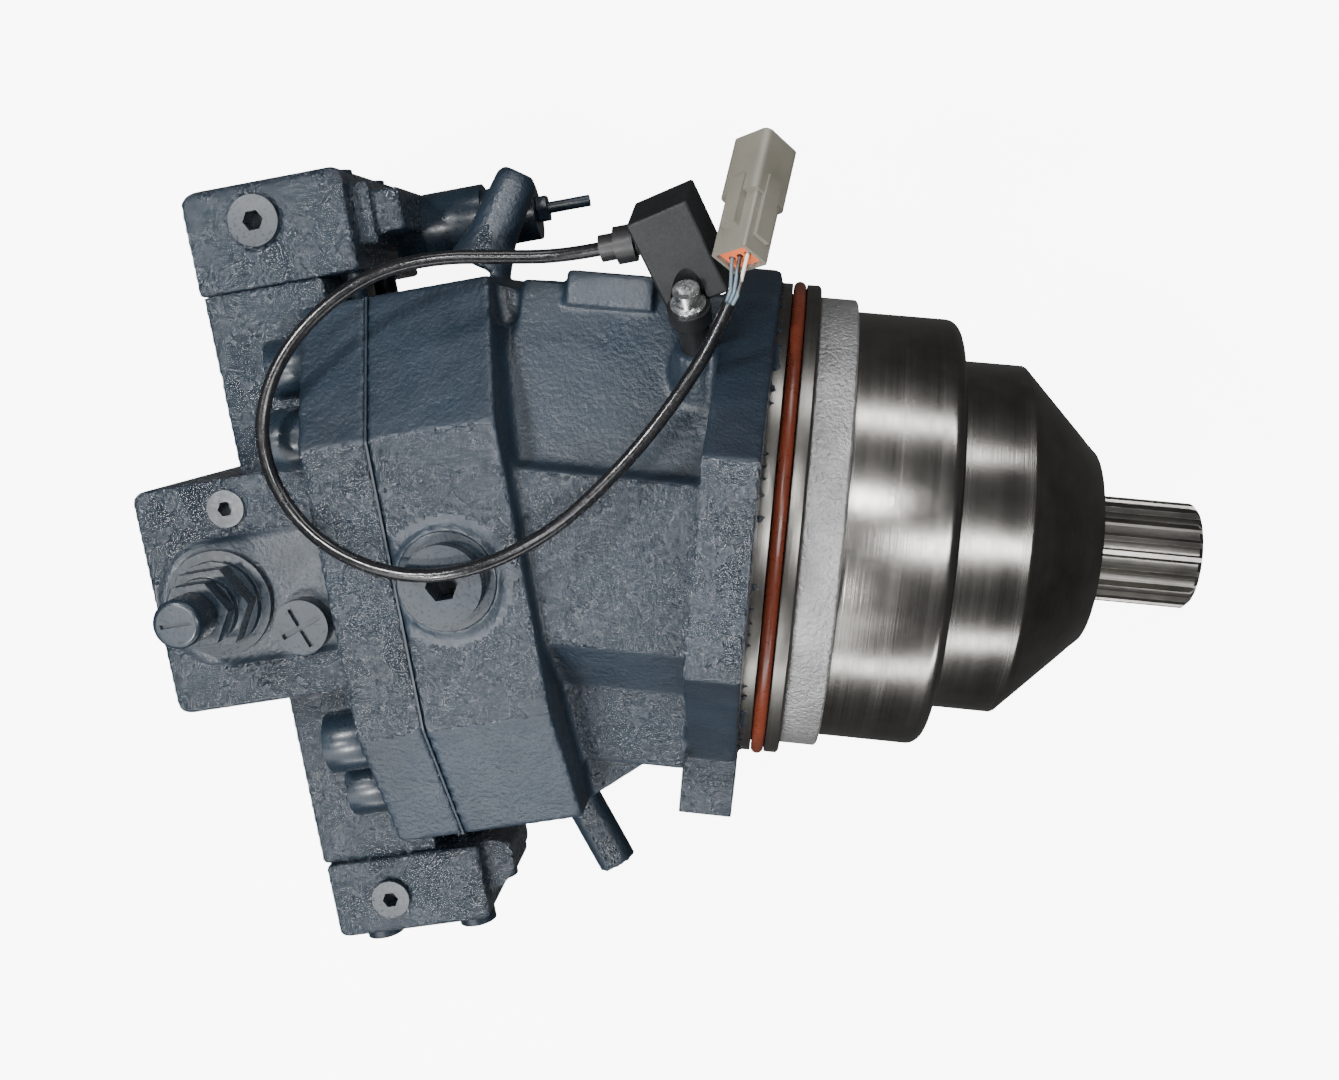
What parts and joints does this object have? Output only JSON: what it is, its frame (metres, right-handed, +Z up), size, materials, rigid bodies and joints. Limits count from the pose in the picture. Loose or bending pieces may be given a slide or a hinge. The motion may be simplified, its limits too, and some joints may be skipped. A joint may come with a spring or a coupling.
{
  "type": "axial piston pump",
  "caption": "Bent-axis axial piston pump unit with two-bolt flange, stepped nose, splined shaft, tilted port plate, control block and cabled speed sensor.",
  "frame": {"origin": "shaft axis where it crosses the front face of the mounting flange", "axes": "+X out along the shaft, +Y across the bend towards the side the sensor is on, +Z up with the unit lying on a flange ear; the bend lies in the XY plane"},
  "size_m": [0.4319, 0.3494, 0.292],
  "materials": {
    "painted_cast_iron": "glossy dark blue-grey paint over rough cast iron",
    "painted_steel": "semi-gloss dark blue-grey paint",
    "brown_rubber": "smooth orange-brown rubber",
    "orange_rubber": "smooth orange silicone rubber",
    "black_rubber": "satin black",
    "black_plastic": "matt black moulding",
    "grey_plastic": "warm grey moulding",
    "wire_insulation": "coloured wire insulation",
    "bare_steel": "turned and ground steel",
    "spring_steel": "oiled spring steel",
    "zinc_steel": "bright zinc plate",
    "contact_brass": "plated contact pins"
  },
  "bodies": {
    "housing": {"block_screws": "painted_steel", "cap_screws": "painted_steel", "connector_body": "grey_plastic", "connector_pins": "contact_brass", "connector_seal": "orange_rubber", "control_block": "painted_cast_iron", "control_lens": "bare_steel", "cross_slot_plug": "painted_steel", "drain_plug": "painted_steel", "drain_washer": "painted_steel", "front_bearing_outer_ring": "bare_steel", "lock_nut": "painted_steel", "lower_cap_plug": "painted_steel", "lower_end_cap": "painted_cast_iron", "main_housing": "painted_cast_iron", "pilot_o_ring": "brown_rubber", "plate_screws": "painted_steel", "port_plate": "painted_cast_iron", "rear_bearing_outer_ring": "bare_steel", "seal_clip": "spring_steel", "seam_gasket": "black_rubber", "sensor_cable": "black_rubber", "sensor_screw": "zinc_steel", "sensor_wires": "wire_insulation", "shaft_seal": "black_rubber", "small_block_plug": "painted_steel", "speed_sensor": "black_plastic", "spool_end_plug": "bare_steel", "stop_nut": "painted_steel", "stop_sleeve": "painted_steel", "strain_relief": "black_rubber", "stroking_piston": "bare_steel", "swivel_pin": "bare_steel", "upper_cap_plug": "painted_steel", "upper_end_cap": "painted_cast_iron", "valve_body": "painted_steel"},
    "rotating_group": {"drive_shaft": "bare_steel", "rear_bearing_inner_ring": "bare_steel", "front_bearing_inner_ring": "bare_steel", "bearing_nut": "bare_steel", "retaining_plate": "bare_steel", "retaining_screws": "zinc_steel", "centre_pin": "bare_steel", "centre_spring": "spring_steel", "cylinder_barrel": "bare_steel", "piston_1": "bare_steel", "piston_2": "bare_steel", "piston_3": "bare_steel", "piston_4": "bare_steel", "piston_5": "bare_steel", "piston_6": "bare_steel", "piston_7": "bare_steel"},
    "rear_rollers": {"rear_bearing_rollers": "bare_steel"},
    "front_rollers": {"front_bearing_rollers": "bare_steel"},
    "spool": {"control_spool": "bare_steel", "control_spring": "spring_steel"},
    "setting_screw": {"setting_screw": "painted_steel"},
    "spring_seat": {"spring_seat": "bare_steel"},
    "stop_screw": {"stop_screw": "painted_steel"}
  },
  "joints": [
    {"name": "shaft_spin", "type": "hinge", "parent": "housing", "child": "rotating_group", "pos_m": [0, 0, 0], "axis": [1, 0, 0], "continuous": true},
    {"name": "rear_roller_orbit", "type": "hinge", "parent": "housing", "child": "rear_rollers", "pos_m": [0.032, 0, 0], "axis": [1, 0, 0], "continuous": true},
    {"name": "front_roller_orbit", "type": "hinge", "parent": "housing", "child": "front_rollers", "pos_m": [0.087, 0, 0], "axis": [1, 0, 0], "continuous": true},
    {"name": "spool_slide", "type": "slide", "parent": "housing", "child": "spool", "axis": [0, 0, 1], "range_m": [0, 0.004], "stiffness_N_per_m": 8000, "springref_m": -0.003, "deforming": ["control_spring"]},
    {"name": "setting_turn", "type": "hinge", "parent": "housing", "child": "setting_screw", "pos_m": [-0.21154, -0.04592, 0.09], "axis": [0, 0, 1], "range_deg": [-360, 360]},
    {"name": "seat_slide", "type": "slide", "parent": "housing", "child": "spring_seat", "axis": [0, 0, 1], "range_m": [-0.0016, 0.0016]},
    {"name": "stop_turn", "type": "hinge", "parent": "housing", "child": "stop_screw", "pos_m": [-0.10546, 0.12302, -0.01], "axis": [0.9681, 0.2504, 0], "range_deg": [-360, 360]}
  ],
  "couplings": [
    {"joint": "rear_roller_orbit", "follows": "shaft_spin", "ratio": 0.4576},
    {"joint": "front_roller_orbit", "follows": "shaft_spin", "ratio": 0.4508},
    {"joint": "seat_slide", "follows": "setting_turn", "m_per_rad": 0.00023873}
  ]
}
